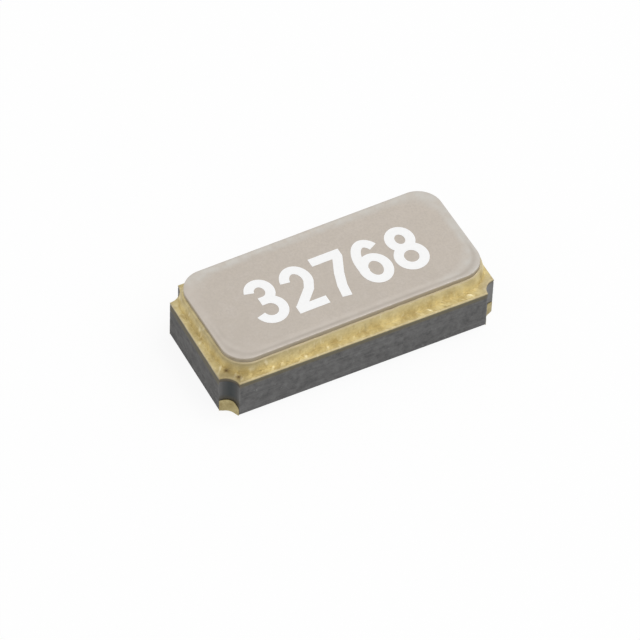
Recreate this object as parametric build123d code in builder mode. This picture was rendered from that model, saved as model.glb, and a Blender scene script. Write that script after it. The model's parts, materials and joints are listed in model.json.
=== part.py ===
"""Surface-mount tuning-fork quartz crystal in a ceramic package, 3.2 mm by 1.5 mm class.

A fired ceramic base holds a grooved quartz fork on two spots of conductive adhesive. A gold-plated
seal band round the top of the wall takes the lid, which is brazed on in vacuum. Millimetres, +Z up,
the terminals' soldering faces lie on z = 0 and the long side runs along X.
"""
import os

from build123d import *

os.makedirs("parts", exist_ok=True)

# ---- package body -------------------------------------------------------------------------------
body_length = 3.20
body_width = 1.50
body_top = 0.47             # ceramic wall's top above the soldering plane
notch_radius = 0.155        # quarter-round castellation at each corner
wall_long = 0.32            # wall beside the cavity along the long sides
wall_short = 0.33           # wall at the cavity's two ends
floor_top = 0.15            # cavity floor above the soldering plane
cavity_corner = 0.10
shelf_height = 0.09         # step that carries the fork, above the cavity floor
shelf_length = 0.52

# ---- seal and lid -------------------------------------------------------------------------------
band_thickness = 0.035      # gold-plated metallisation on the wall's top
band_setback = 0.035        # from the cavity's edge to the band's inner edge
band_bevel = 0.012          # softened outer top edge of the band
braze_thickness = 0.060
braze_setback = 0.05        # from the band's inner edge to the braze's inner edge
fillet_width = 0.018        # braze fillet's foot outside the lid
fillet_climb = 0.060        # braze fillet's height up the lid's side
fillet_lip = 0.002          # braze left at the top of the fillet
lid_thickness = 0.135
lid_margin = 0.09           # nominal margin between the lid and the body's outline
lid_corner = 0.27
rim_width = 0.075           # seam-weld track rolled into the lid's edge
rim_drop = 0.015
lid_shift_x = 0.025         # placement error of the lid, as assembled
lid_shift_y = 0.046
lid_turn = 1.10             # degrees

# ---- terminals and conductors -------------------------------------------------------------------
terminal_thickness = 0.012
terminal_length = 0.82
terminal_inset = 0.040      # from the body's outline to the soldering pad's edge
wrap_height = 0.170         # plating on each castellation's wall
wrap_thickness = 0.015
pad_thickness = 0.015       # mounting pads on the shelf
pad_length = 0.36
pad_gap = 0.12
via_radius = 0.045
trace_width = 0.10          # conductor under the fork, from shelf to far end
trace_thickness = 0.015
far_via_inset = 0.12        # far via's centre from the cavity's end wall
adhesive_radius = 0.085
adhesive_bulge = 0.015
adhesive_thickness = 0.035

# ---- quartz fork --------------------------------------------------------------------------------
fork_thickness = 0.100
fork_root_gap = 0.12        # clear of the cavity's end wall at the mounted end
fork_tip_gap = 0.20         # clear of the cavity's end wall at the arm tips
fork_side_gap = 0.18        # clear of the cavity's long walls
stem_length = 0.60
arm_width = 0.105
arm_gap = 0.100
groove_width = 0.055
groove_depth = 0.034
groove_share = 0.58         # groove's length as a share of the arm's
groove_offset = 0.05        # groove's start beyond the crotch
waist_width = 0.06          # notches that keep the stem quiet
waist_depth = 0.075
waist_offset = 0.20         # notch's centre behind the crotch

# ---- electrodes ---------------------------------------------------------------------------------
film = 0.002
split_gap = 0.05            # bare quartz between the two nets on the stem
track_width = 0.05
track_clearance = 0.03
edge_clearance = 0.012      # bare strip between a face stripe and an arm's edge
side_start = 0.03           # side electrodes' start beyond the crotch
tip_band = 0.42             # plated length at each arm's tip
weight_length = 0.30
weight_thickness = 0.005
weight_inset = 0.010

# ---- derived levels and outlines ----------------------------------------------------------------
half_length = body_length / 2
half_width = body_width / 2
cavity_length = body_length - 2 * wall_short
cavity_width = body_width - 2 * wall_long
band_top = body_top + band_thickness
lid_bottom = band_top + braze_thickness
lid_top = lid_bottom + lid_thickness
lid_length = body_length - 2 * lid_margin
lid_width = body_width - 2 * lid_margin
shelf_top = floor_top + shelf_height
shelf_end = -cavity_length / 2 + shelf_length
pad_top = shelf_top + pad_thickness
film_bottom = pad_top + adhesive_thickness
fork_bottom = film_bottom + film
fork_top = fork_bottom + fork_thickness
fork_middle = (fork_bottom + fork_top) / 2
fork_start = -cavity_length / 2 + fork_root_gap
fork_end = cavity_length / 2 - fork_tip_gap
stem_width = cavity_width - 2 * fork_side_gap
crotch = fork_start + stem_length
arm_length = fork_end - crotch
arm_centre = (arm_gap + arm_width) / 2
groove_length = arm_length * groove_share
pad_width = (cavity_width - 3 * pad_gap) / 2
pad_y = (pad_width + pad_gap) / 2
pad_x = -cavity_length / 2 + pad_gap / 2 + pad_length / 2
corners = [(sx * half_length, sy * half_width) for sx in (-1, 1) for sy in (-1, 1)]


def block(x0, x1, y0, y1, z0, z1):
    """A box between two opposite corners, added to the part being built."""
    with Locations(((x0 + x1) / 2, (y0 + y1) / 2, (z0 + z1) / 2)):
        Box(x1 - x0, y1 - y0, z1 - z0)


# ---- ceramic base: floor, wall, fork shelf and castellations, fired as one piece ---------------
with BuildPart() as ceramic_base:
    with BuildSketch(Plane.XY.offset(terminal_thickness)):
        Rectangle(body_length, body_width)
        with Locations(*corners):
            Circle(notch_radius, mode=Mode.SUBTRACT)
    extrude(amount=body_top - terminal_thickness)
    # cavity, left standing as a shelf at the fork's end
    with BuildSketch(Plane.XY.offset(floor_top)):
        RectangleRounded(cavity_length, cavity_width, cavity_corner)
        with Locations((-cavity_length / 2 + shelf_length / 2, 0)):
            Rectangle(shelf_length, cavity_width, mode=Mode.SUBTRACT)
    extrude(amount=body_top - floor_top, mode=Mode.SUBTRACT)
    with BuildSketch(Plane.XY.offset(shelf_top)):
        RectangleRounded(cavity_length, cavity_width, cavity_corner)
    extrude(amount=body_top - shelf_top, mode=Mode.SUBTRACT)
    # room for the near conductor, straight down through the shelf and the floor
    with BuildSketch(Plane.XY.offset(terminal_thickness)):
        with Locations((pad_x, pad_y)):
            Circle(via_radius)
    extrude(amount=shelf_top - terminal_thickness, mode=Mode.SUBTRACT)
    # room for the far conductor: down to the floor, under the shelf, then down at the far end
    with BuildSketch(Plane.XY.offset(floor_top)):
        with Locations((pad_x, -pad_y)):
            Circle(via_radius)
    extrude(amount=shelf_height, mode=Mode.SUBTRACT)
    with BuildSketch(Plane.XY.offset(floor_top)):
        with Locations(((pad_x + shelf_end) / 2, -pad_y)):
            Rectangle(shelf_end - pad_x, trace_width)
        with Locations((pad_x, -pad_y)):
            Circle(trace_width / 2)
    extrude(amount=trace_thickness, mode=Mode.SUBTRACT)
    with BuildSketch(Plane.XY.offset(terminal_thickness)):
        with Locations((cavity_length / 2 - far_via_inset, -pad_y)):
            Circle(via_radius)
    extrude(amount=floor_top - terminal_thickness, mode=Mode.SUBTRACT)
ceramic_base.part.label = "ceramic_base"

# ---- seal band: plated metallisation on the wall's top, cut by the castellations ---------------
band_inner_length = cavity_length + 2 * band_setback
band_inner_width = cavity_width + 2 * band_setback
with BuildPart() as seal_band:
    with BuildSketch(Plane.XY.offset(body_top)):
        Rectangle(body_length, body_width)
        with Locations(*corners):
            Circle(notch_radius, mode=Mode.SUBTRACT)
    extrude(amount=band_thickness)
    chamfer(seal_band.faces().sort_by(Axis.Z)[-1].edges(), length=band_bevel)
    with BuildSketch(Plane.XY.offset(body_top)):
        RectangleRounded(band_inner_length, band_inner_width, cavity_corner + band_setback)
    extrude(amount=band_thickness, mode=Mode.SUBTRACT)
seal_band.part.label = "seal_band"

# ---- lid: plate with large corner radii and a seam-weld track rolled round its edge ------------
lid_place = Location((lid_shift_x, lid_shift_y, 0), (0, 0, lid_turn))
with BuildPart() as lid_flat:
    with BuildSketch(Plane.XY.offset(lid_bottom)):
        RectangleRounded(lid_length, lid_width, lid_corner)
    extrude(amount=lid_thickness - rim_drop)
    with BuildSketch(Plane.XY.offset(lid_top - rim_drop)):
        RectangleRounded(lid_length, lid_width, lid_corner)
    with BuildSketch(Plane.XY.offset(lid_top)):
        RectangleRounded(lid_length - 2 * rim_width, lid_width - 2 * rim_width, lid_corner - rim_width)
    loft(ruled=True)
with BuildPart() as lid:
    add(lid_flat.part.moved(lid_place))
lid.part.label = "lid"

# ---- braze ring: joins band and lid, with a fillet that climbs the lid's side -------------------
with BuildPart() as braze_straight:
    with BuildSketch(Plane.XY.offset(band_top)):
        RectangleRounded(
            lid_length + 2 * fillet_width, lid_width + 2 * fillet_width, lid_corner + fillet_width
        )
    with BuildSketch(Plane.XY.offset(lid_bottom + fillet_climb)):
        RectangleRounded(lid_length + 2 * fillet_lip, lid_width + 2 * fillet_lip, lid_corner + fillet_lip)
    loft(ruled=True)
    with BuildSketch(Plane.XY.offset(lid_bottom)):
        RectangleRounded(lid_length, lid_width, lid_corner)
    extrude(amount=lid_thickness, mode=Mode.SUBTRACT)
with BuildPart() as braze_ring:
    add(braze_straight.part.moved(lid_place))
    with BuildSketch(Plane.XY.offset(band_top)):
        RectangleRounded(
            band_inner_length + 2 * braze_setback,
            band_inner_width + 2 * braze_setback,
            cavity_corner + band_setback + braze_setback,
        )
    extrude(amount=braze_thickness, mode=Mode.SUBTRACT)
braze_ring.part.label = "braze_ring"

# ---- terminals: soldering pad under each end, wrapped up its two castellations ------------------
terminals = []
for number, end in ((1, -1), (2, 1)):
    end_corners = [(end * half_length, sy * half_width) for sy in (-1, 1)]
    with BuildPart() as terminal:
        with BuildSketch(Plane.XY):
            with Locations((end * (half_length - terminal_inset - terminal_length / 2), 0)):
                Rectangle(terminal_length, body_width - 2 * terminal_inset)
            with Locations(*end_corners):
                Circle(notch_radius)
            with Locations((end * (half_length - body_length / 4), 0)):
                Rectangle(body_length / 2, body_width, mode=Mode.INTERSECT)
            with Locations(*end_corners):
                Circle(notch_radius - wrap_thickness, mode=Mode.SUBTRACT)
        extrude(amount=terminal_thickness)
        with BuildSketch(Plane.XY.offset(terminal_thickness)):
            with Locations(*end_corners):
                Circle(notch_radius)
                Circle(notch_radius - wrap_thickness, mode=Mode.SUBTRACT)
            Rectangle(body_length, body_width, mode=Mode.INTERSECT)
        extrude(amount=wrap_height - terminal_thickness)
    terminal.part.label = "terminal_%d" % number
    terminals.append(terminal)

# ---- conductors through the ceramic ------------------------------------------------------------
with BuildPart() as via_near:
    with BuildSketch(Plane.XY.offset(terminal_thickness)):
        with Locations((pad_x, pad_y)):
            Circle(via_radius)
    extrude(amount=shelf_top - terminal_thickness)
via_near.part.label = "via_near"

with BuildPart() as conductor_far:
    with BuildSketch(Plane.XY.offset(floor_top)):
        with Locations((pad_x, -pad_y)):
            Circle(via_radius)
    extrude(amount=shelf_height)
    with BuildSketch(Plane.XY.offset(floor_top)):
        with Locations(((pad_x + cavity_length / 2 - far_via_inset) / 2, -pad_y)):
            Rectangle(cavity_length / 2 - far_via_inset - pad_x, trace_width)
        with Locations((pad_x, -pad_y), (cavity_length / 2 - far_via_inset, -pad_y)):
            Circle(trace_width / 2)
    extrude(amount=trace_thickness)
    with BuildSketch(Plane.XY.offset(terminal_thickness)):
        with Locations((cavity_length / 2 - far_via_inset, -pad_y)):
            Circle(via_radius)
    extrude(amount=floor_top - terminal_thickness)
conductor_far.part.label = "conductor_far"

# ---- mounting pads on the shelf, and the conductive adhesive on them ----------------------------
mounts = []
for number, side in ((1, 1), (2, -1)):
    with BuildPart() as pad:
        with BuildSketch(Plane.XY.offset(shelf_top)):
            with Locations((pad_x, side * pad_y)):
                Rectangle(pad_length, pad_width)
        extrude(amount=pad_thickness)
    pad.part.label = "mounting_pad_%d" % number
    with BuildPart() as adhesive:
        with BuildSketch(Plane.XZ.offset(-side * pad_y)):
            with BuildLine():
                Polyline(
                    (pad_x + adhesive_radius, film_bottom),
                    (pad_x, film_bottom),
                    (pad_x, pad_top),
                    (pad_x + adhesive_radius, pad_top),
                )
                ThreePointArc(
                    (pad_x + adhesive_radius, pad_top),
                    (pad_x + adhesive_radius + adhesive_bulge, (pad_top + film_bottom) / 2),
                    (pad_x + adhesive_radius, film_bottom),
                )
            make_face()
        revolve(axis=Axis((pad_x, side * pad_y, 0), (0, 0, 1)), revolution_arc=360)
    adhesive.part.label = "adhesive_%d" % number
    mounts += [pad, adhesive]


# ---- quartz fork: stem with waist notches, two grooved arms ------------------------------------
def fork_body(skin):
    """The fork grown outward by a skin on every face; a skin of zero is the bare quartz."""
    with BuildPart() as body:
        with BuildSketch(Plane.XY.offset(fork_bottom - skin)):
            with Locations(((fork_start + crotch) / 2, 0)):
                Rectangle(stem_length + 2 * skin, stem_width + 2 * skin)
            with Locations(((fork_start + fork_end) / 2, 0)):
                Rectangle(fork_end - fork_start + 2 * skin, arm_gap + 2 * arm_width + 2 * skin)
            with Locations(((crotch + skin + fork_end + 1) / 2, 0)):
                Rectangle(fork_end + 1 - crotch - skin, arm_gap - 2 * skin, mode=Mode.SUBTRACT)
            for side in (-1, 1):
                with Locations((crotch - waist_offset, side * (stem_width / 2 + skin))):
                    Rectangle(waist_width - 2 * skin, 2 * waist_depth, mode=Mode.SUBTRACT)
        extrude(amount=fork_thickness + 2 * skin)
        groove_x = crotch + groove_offset + groove_length / 2
        for side in (-1, 1):
            for low, high in (
                (fork_bottom - skin, fork_bottom + groove_depth - skin),
                (fork_top - groove_depth + skin, fork_top + skin),
            ):
                with Locations((groove_x, side * arm_centre, (low + high) / 2)):
                    Box(groove_length - 2 * skin, groove_width - 2 * skin, high - low, mode=Mode.SUBTRACT)
    return body


quartz_fork = fork_body(0)
quartz_fork.part.label = "quartz_fork"
grown_fork = fork_body(film)


# ---- electrodes: two nets of thin gold film that follow the fork's faces and grooves ------------
def electrode(side, face):
    """One net: its half of the stem, one arm's faces, and the other arm's sides and tip.

    side is +1 or -1 for the half of the stem it covers. face is +1 or -1 for the face, top or
    bottom, on which its track crosses to the other arm.
    """
    beyond = stem_width
    track_back = crotch - track_width - track_clearance
    inner = arm_gap / 2
    outer = arm_gap / 2 + arm_width
    low_z = fork_middle if face > 0 else fork_bottom - beyond
    high_z = fork_top + beyond if face > 0 else fork_middle
    with BuildPart() as zone:
        # this net's half of the stem, short of the crossing tracks
        ys = sorted((side * split_gap / 2, side * beyond))
        block(fork_start - beyond, track_back - track_clearance, ys[0], ys[1],
              fork_bottom - beyond, fork_top + beyond)
        # stripe along its own arm's two faces, through the groove
        stripe = sorted((side * (inner + edge_clearance), side * (outer - edge_clearance)))
        block(track_back - 2 * track_clearance, crotch + groove_offset * 2 + groove_length,
              stripe[0], stripe[1], fork_bottom - beyond, fork_top + beyond)
        # track across the stem on one face, and over the crotch's edge
        cross = sorted((side * (inner + 2 * edge_clearance), -side * inner - side * film))
        block(track_back, track_back + track_width, cross[0], cross[1], low_z, high_z)
        wall = sorted((-side * edge_clearance, -side * (inner + film)))
        block(track_back, crotch + film, wall[0], wall[1], low_z, high_z)
        # the other arm's inner and outer sides
        near = sorted((-side * edge_clearance, -side * (inner + film / 4)))
        block(crotch - film, fork_end, near[0], near[1], fork_bottom, fork_top)
        far = sorted((-side * outer, -side * beyond))
        block(crotch + side_start, fork_end, far[0], far[1], fork_bottom, fork_top)
        # band round the other arm's tip, which joins its two sides
        tip = sorted((-side * edge_clearance, -side * beyond))
        block(fork_end - tip_band, fork_end, tip[0], tip[1], fork_bottom - beyond, fork_top + beyond)
    with BuildPart() as net:
        add(grown_fork.part)
        add(quartz_fork.part, mode=Mode.SUBTRACT)
        add(zone.part, mode=Mode.INTERSECT)
    return net


electrode_1 = electrode(1, 1)
electrode_1.part.label = "electrode_1"
electrode_2 = electrode(-1, -1)
electrode_2.part.label = "electrode_2"

# ---- tuning weights: thick gold on each arm's tip, trimmed by laser to set the frequency --------
weights = []
for number, side in ((1, 1), (2, -1)):
    with BuildPart() as weight:
        with BuildSketch(Plane.XY.offset(fork_top + film)):
            with Locations((fork_end - weight_inset - weight_length / 2, side * arm_centre)):
                Rectangle(weight_length, arm_width - 2 * weight_inset)
        extrude(amount=weight_thickness)
    weight.part.label = "tuning_weight_%d" % number
    weights.append(weight)

pieces = [ceramic_base, seal_band, braze_ring, lid] + terminals + [via_near, conductor_far]
pieces += mounts + [quartz_fork, electrode_1, electrode_2] + weights
for piece in pieces:
    export_step(piece.part, "parts/%s.step" % piece.part.label)
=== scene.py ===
"""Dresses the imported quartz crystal: ceramic body, plated seal, brazed lid, marking, terminals, stage."""
import json
import math

import bmesh
import bpy
from bpy.props import FloatProperty, FloatVectorProperty, PointerProperty, StringProperty
from mathutils import Matrix, Vector, noise


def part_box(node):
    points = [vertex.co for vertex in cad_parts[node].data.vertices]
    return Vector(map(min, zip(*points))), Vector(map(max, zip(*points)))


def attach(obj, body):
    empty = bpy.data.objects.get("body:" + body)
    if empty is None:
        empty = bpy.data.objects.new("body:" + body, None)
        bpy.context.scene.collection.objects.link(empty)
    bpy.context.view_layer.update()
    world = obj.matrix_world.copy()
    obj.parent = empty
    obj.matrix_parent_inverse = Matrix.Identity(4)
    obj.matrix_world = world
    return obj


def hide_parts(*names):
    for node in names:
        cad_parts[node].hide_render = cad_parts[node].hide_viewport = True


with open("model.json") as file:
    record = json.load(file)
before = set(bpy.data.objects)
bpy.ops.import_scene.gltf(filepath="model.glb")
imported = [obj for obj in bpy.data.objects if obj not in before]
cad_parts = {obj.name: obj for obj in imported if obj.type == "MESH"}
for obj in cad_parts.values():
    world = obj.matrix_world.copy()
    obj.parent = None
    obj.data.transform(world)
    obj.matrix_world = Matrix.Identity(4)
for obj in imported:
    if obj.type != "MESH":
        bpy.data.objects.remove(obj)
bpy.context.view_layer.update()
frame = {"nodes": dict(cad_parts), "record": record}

bl_info = {
    "name": "Surface-mount crystal dressing",
    "version": (1, 0, 0),
    "blender": (4, 5, 0),
    "location": "View3D > Sidebar > Crystal",
    "description": "Builds the visible pieces and finishes of a ceramic-packaged quartz crystal",
    "category": "Object",
}

MM = 0.001
MICRON = 0.000001
BODY = "root"
CAMERA_TARGET = (-0.2156 * MM, -0.1657 * MM, 0.3 * MM)

# Finishes that aren't on the panel: scene-linear colours, then shares of other colours, then how
# metallic the band's and the braze's plating is.
OLIVE_CERAMIC = (0.150, 0.132, 0.086)
# Painted shadow under the plating's edge, at the top of the castellations
RIM_CERAMIC = (0.105, 0.078, 0.046)
FOOT_CERAMIC = (0.094, 0.082, 0.058)
# Painted highlight on the band's outer edge
PALE_METAL = (0.520, 0.442, 0.285)
# Painted highlight on the braze's ledge
LEDGE_METAL = (0.532, 0.448, 0.284)
# Darker plating near the castellations, and painted shade at the band's left end and on the braze near the
# lid
DULL_METAL = (0.330, 0.265, 0.140)
# Painted glints on the plating's crests
CREST_METAL = (0.960, 0.865, 0.580)
# Painted shade on the band's vertical side
SIDE_METAL = (0.150, 0.130, 0.078)
# Stains, and the band's side darkened along the castellations
STAINED_METAL = (0.085, 0.040, 0.018)
PATCH_NICKEL = (0.565, 0.515, 0.470)
# Painted shade on the lid's side
SIDE_NICKEL = (0.410, 0.360, 0.285)
# Painted shade: the shares that darken the ceramic's end faces
END_SHARES = (0.92, 0.91, 0.90)
BROWN_SHARES = (0.76, 0.68, 0.56)
TRACK_REAR_SHARES = (1.035, 1.085, 1.120)
PLATED = 0.6

# Shapes that aren't on the panel: the castellations' radii and the layer lines' heights as shares, the
# band's rounding, and the stains' places in from the front left corner.
NOTCH_SHARES = {(1, -1): 0.96, (1, 1): 1.0, (-1, 1): 1.17, (-1, -1): 1.0}
LAYER_SHARES = (0.0, 0.34, 0.67)
BAND_BEVEL = 12 * MICRON
STAINS = ((0.116 * MM, 0.224 * MM), (0.191 * MM, 0.098 * MM))

# The braze from the lid's side outward and down: share of the ledge, share of the height, share of the slope,
# painted shade darkening the slope near the lid, and how far the relief may move it.
BRAZE_PROFILE = (
    (0.0, 1.0, 0.0, 0.2, 0.0), (0.35, 0.985, 0.0, 0.2, 0.0), (0.75, 0.955, 0.0, 0.2, 0.3),
    (1.0, 0.90, 0.0, 0.4, 0.7), (1.0, 0.84, 0.18, 0.43, 0.7), (1.0, 0.66, 0.40, 0.33, 0.7),
    (1.0, 0.44, 0.62, 0.18, 0.7), (1.0, 0.22, 0.84, 0.05, 0.7), (1.0, 0.08, 1.0, 0.0, 0.0),
    (1.0, 0.0, 1.18, 0.0, 0.0),
)

BASE_LOW, BASE_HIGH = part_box("ceramic_base")
BAND_LOW, BAND_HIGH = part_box("seal_band")
LID_LOW, LID_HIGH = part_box("lid")
TERMINAL_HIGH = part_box("terminal_1")[1]


# ---- sizes and colours a user would change ----
def length(name, description, default):
    """A length property in metres."""
    return FloatProperty(
        name=name, description=description, default=default, min=0, unit="LENGTH", precision=6
    )


def angle(name, description, degrees):
    """An angle property."""
    return FloatProperty(
        name=name, description=description, default=math.radians(degrees), subtype="ANGLE"
    )


def colour(name, description, default):
    """A scene-linear colour property."""
    return FloatVectorProperty(
        name=name, description=description, default=default, min=0, max=1, size=3, subtype="COLOR"
    )


class CrystalBodySizes(bpy.types.PropertyGroup):
    """Ceramic body and its plating."""
    notch_radius: length("Castellation radius", "Quarter-round cut at each corner", 0.155 * MM)
    wall_long: length("Long wall", "Wall beside the cavity along the long sides", 0.32 * MM)
    wall_short: length("Short wall", "Wall at the cavity's ends", 0.33 * MM)
    cavity_corner: length("Cavity corner", "Corner radius of the cavity", 0.10 * MM)
    floor_top: length("Cavity floor", "Height of the cavity floor", 0.15 * MM)
    shelf_top: length("Shelf", "Height of the step that carries the fork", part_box("mounting_pad_1")[0].z)
    shelf_length: length("Shelf length", "Length of the step that carries the fork", 0.52 * MM)
    edge_wear: length("Edge wear", "Rounding of the fired edges", 7 * MICRON)
    layer_groove: length("Layer line", "Depth of the lines between the laminated layers", 1.6 * MICRON)
    band_setback: length("Band setback", "From the cavity's edge to the plating's inner edge", 0.035 * MM)
    band_relief: length("Plating relief", "Height of the plating's unevenness", 8 * MICRON)
    bump_height: length("Bumps", "Height of the plating's bumps", 9 * MICRON)
    pad_inset: length("Pad inset", "From the body's outline to the soldering pad's edge", 0.04 * MM)
    wrap_thickness: length("Wrap", "Thickness of the plating on the castellation walls", 0.015 * MM)


class CrystalLidSizes(bpy.types.PropertyGroup):
    """Lid, braze and marking."""
    margin: length("Margin", "Nominal margin between the lid and the body's outline", 0.09 * MM)
    corner: length("Corner", "Corner radius of the lid", 0.27 * MM)
    turn: angle("Turn", "Placement error of the lid", 1.1)
    track_width: length("Track width", "Weld track round the lid's edge", 0.125 * MM)
    track_corner: length("Track corner", "Inner corner radius of the weld track", 0.40 * MM)
    track_drop: length("Track drop", "Depth of the weld track's shallow groove", 2.6 * MICRON)
    fillet_width: length("Fillet", "Braze fillet's slope outside the lid", 28 * MICRON)
    ledge: length("Ledge", "Pale ledge of braze at the lid's foot", 20 * MICRON)
    fillet_climb: length("Fillet climb", "Braze fillet's height up the lid's side", 76 * MICRON)
    braze_setback: length("Braze setback", "From the plating's inner edge to the braze", 0.05 * MM)
    marking: StringProperty(name="Marking", description="Frequency in hertz", default="32768")
    marking_length: length("Marking length", "Length of the printed figures", 2.02 * MM)
    marking_height: length("Marking height", "Height of the printed figures", 0.63 * MM)
    marking_right: length("Marking right", "Printed figures off the lid's centre, lengthwise", 0.03 * MM)
    marking_down: length("Marking down", "Printed figures off the lid's centre, widthwise", 0.032 * MM)
    stroke: length("Stroke", "Width of the printed lines", 0.108 * MM)
    ink_thickness: length("Ink", "Thickness of the printed ink", 3 * MICRON)


class CrystalColours(bpy.types.PropertyGroup):
    """Finishes, in scene-linear colour."""
    ceramic: colour("Ceramic", "Fired black alumina", (0.122, 0.121, 0.120))
    gold: colour("Gold", "Plating on the seal band", (0.755, 0.638, 0.332))
    # Deep gold is also the base of the painted shade in the plating's relief hollows.
    gold_deep: colour("Deep gold", "Hollows of the plating", (0.580, 0.470, 0.222))
    nickel: colour("Nickel", "Face of the lid", (0.535, 0.482, 0.425))
    track: colour("Weld track", "Track round the lid's edge", (0.555, 0.505, 0.452))
    ink: colour("Ink", "Printed figures", (0.975, 0.975, 0.970))


class CrystalStage(bpy.types.PropertyGroup):
    """Floor, lights and camera."""
    floor_size: length("Floor", "Side of the floor", 0.6)
    azimuth: angle("Azimuth", "Camera's direction round the object", -28.81)
    elevation: angle("Elevation", "Camera's height above the horizon", 48.61)
    roll: angle("Roll", "Camera's roll", 2.466)
    distance: length("Distance", "Camera to object", 52.169 * MM)
    lens: FloatProperty(name="Lens", description="Focal length in millimetres", default=281.25)


# ---- plain sums ----
def hump(value, middle, width):
    """One at the middle, falling away smoothly to both sides."""
    return math.exp(-((value - middle) / width) ** 2)


def clamp(value):
    """The value, held between 0 and 1."""
    return max(0.0, min(1.0, value))


def ripple(x, y, per_mm):
    """Smooth noise from -1 to 1, with so many features to the millimetre."""
    return noise.noise(Vector((x, y, 0)) * per_mm / MM)


def rounding(radius, steps):
    """A quarter circle, as pairs: distance in from the side, and distance along from the end."""
    turns = [math.pi / 2 * i / steps for i in range(steps + 1)]
    return [(radius * (1 - math.sin(turn)), radius * (1 - math.cos(turn))) for turn in turns]


def shade(tone, share):
    """A colour made lighter or darker, by one share or by one for each channel."""
    shares = share if isinstance(share, tuple) else (share, share, share)
    return [min(1.0, channel * part) for channel, part in zip(tone, shares)]


# ---- node trees ----
class Tree:
    """Adds nodes to a node tree. Every value is another node's socket or a plain value."""

    def __init__(self, tree):
        self.group = tree

    def plug(self, value, socket):
        """Links a socket to an input, or sets the input to a plain value."""
        if isinstance(value, bpy.types.NodeSocket):
            self.group.links.new(value, socket)
        else:
            socket.default_value = value

    def add(self, kind, inputs=None, **settings):
        """Adds a node with its settings and inputs."""
        made = self.group.nodes.new(kind)
        for name, value in settings.items():
            setattr(made, name, value)
        for key, value in (inputs or {}).items():
            self.plug(value, made.inputs[key])
        return made

    def calc(self, operation, *values):
        """The result of a sum."""
        return self.add("ShaderNodeMath", dict(enumerate(values)), operation=operation).outputs[0]

    def vector(self, operation, first, second):
        """The result of a sum on two vectors, or of scaling a vector by a number."""
        key = "Scale" if operation == "SCALE" else 1
        made = self.add("ShaderNodeVectorMath", {0: first, key: second}, operation=operation)
        return made.outputs["Value" if operation == "DOT_PRODUCT" else 0]

    def axis(self, vector, number):
        """One of a vector's three numbers."""
        return self.add("ShaderNodeSeparateXYZ", {0: vector}).outputs[number]

    def span(self, value, start, end, first=0.0, last=1.0, smooth=False):
        """Carries a value from the range start to end over to the range first to last."""
        inputs = dict(enumerate((value, start, end, first, last)))
        kind = "SMOOTHSTEP" if smooth else "LINEAR"
        return self.add("ShaderNodeMapRange", inputs, interpolation_type=kind).outputs[0]

    def seen_directly(self):
        """One where the eye, a shiny face or a clear one looks straight at a surface, else zero."""
        path = self.add("ShaderNodeLightPath").outputs
        seen = self.calc("MAXIMUM", path["Is Camera Ray"], path["Is Glossy Ray"])
        return self.calc("MAXIMUM", seen, path["Is Transmission Ray"])


class Finish(Tree):
    """A material being made: its shader, object coordinates in millimetres, and the paint so far."""

    def __init__(self, name, tone):
        self.material = bpy.data.materials.new(name)
        self.material.use_nodes = True
        super().__init__(self.material.node_tree)
        self.group.nodes.clear()
        self.shader = self.add("ShaderNodeBsdfPrincipled")
        self.add("ShaderNodeOutputMaterial", {"Surface": self.shader.outputs[0]})
        self.place = self.vector("SCALE", self.add("ShaderNodeTexCoord").outputs["Object"], 1 / MM)
        self.tone = tone

    def opaque(self, tone):
        """A socket as it is, or a plain colour with its alpha."""
        return tone if isinstance(tone, bpy.types.NodeSocket) else (*tone, 1)

    def mark(self, name):
        """A point attribute's value."""
        return self.add("ShaderNodeAttribute", attribute_name=name).outputs["Fac"]

    def grain(self, scale, detail=3.0, rough=0.5, stretch=None, seed=0.0):
        """Noise with a given number of features to the millimetre, from 0 to 1."""
        place = self.vector("MULTIPLY", self.place, stretch) if stretch else self.place
        inputs = {"Vector": place, "W": seed, "Scale": scale, "Detail": detail, "Roughness": rough}
        return self.add("ShaderNodeTexNoise", inputs, noise_dimensions="4D").outputs[0]

    def ramp(self, value, stops):
        """A colour ramp with the given (position, grey or colour) stops."""
        made = self.add("ShaderNodeValToRGB", {0: value})
        elements = made.color_ramp.elements
        while len(elements) < len(stops):
            elements.new(0.5)
        for element, (position, tone) in zip(elements, stops):
            element.position = position
            element.color = (*tone, 1) if isinstance(tone, tuple) else (tone, tone, tone, 1)
        return made.outputs["Color"]

    def grade(self, value, start, end, last=1.0, first=0.0):
        """A ramp of greys, first at the start and last at the end."""
        return self.ramp(value, ((start, first), (end, last)))

    def blend(self, factor, first, second, mode="MIX"):
        """Mixes two colours."""
        made = self.add("ShaderNodeMix", {0: factor}, data_type="RGBA", blend_type=mode)
        self.plug(self.opaque(first), made.inputs[6])
        self.plug(self.opaque(second), made.inputs[7])
        return made.outputs[2]

    def paint(self, where, tone, mode="MIX"):
        """Lays a colour over the paint so far."""
        self.tone = self.blend(where, self.tone, tone, mode)

    def ready(self, height, depth, strength, **values):
        """The material, with its paint, a bump of a depth in metres and the shader's other values."""
        bump = self.add("ShaderNodeBump", {"Height": height, "Distance": depth, "Strength": strength})
        values.update(Base_Color=self.opaque(self.tone), Normal=bump.outputs[0])
        for name, value in values.items():
            self.plug(value, self.shader.inputs[name.replace("_", " ")])
        return self.material


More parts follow.
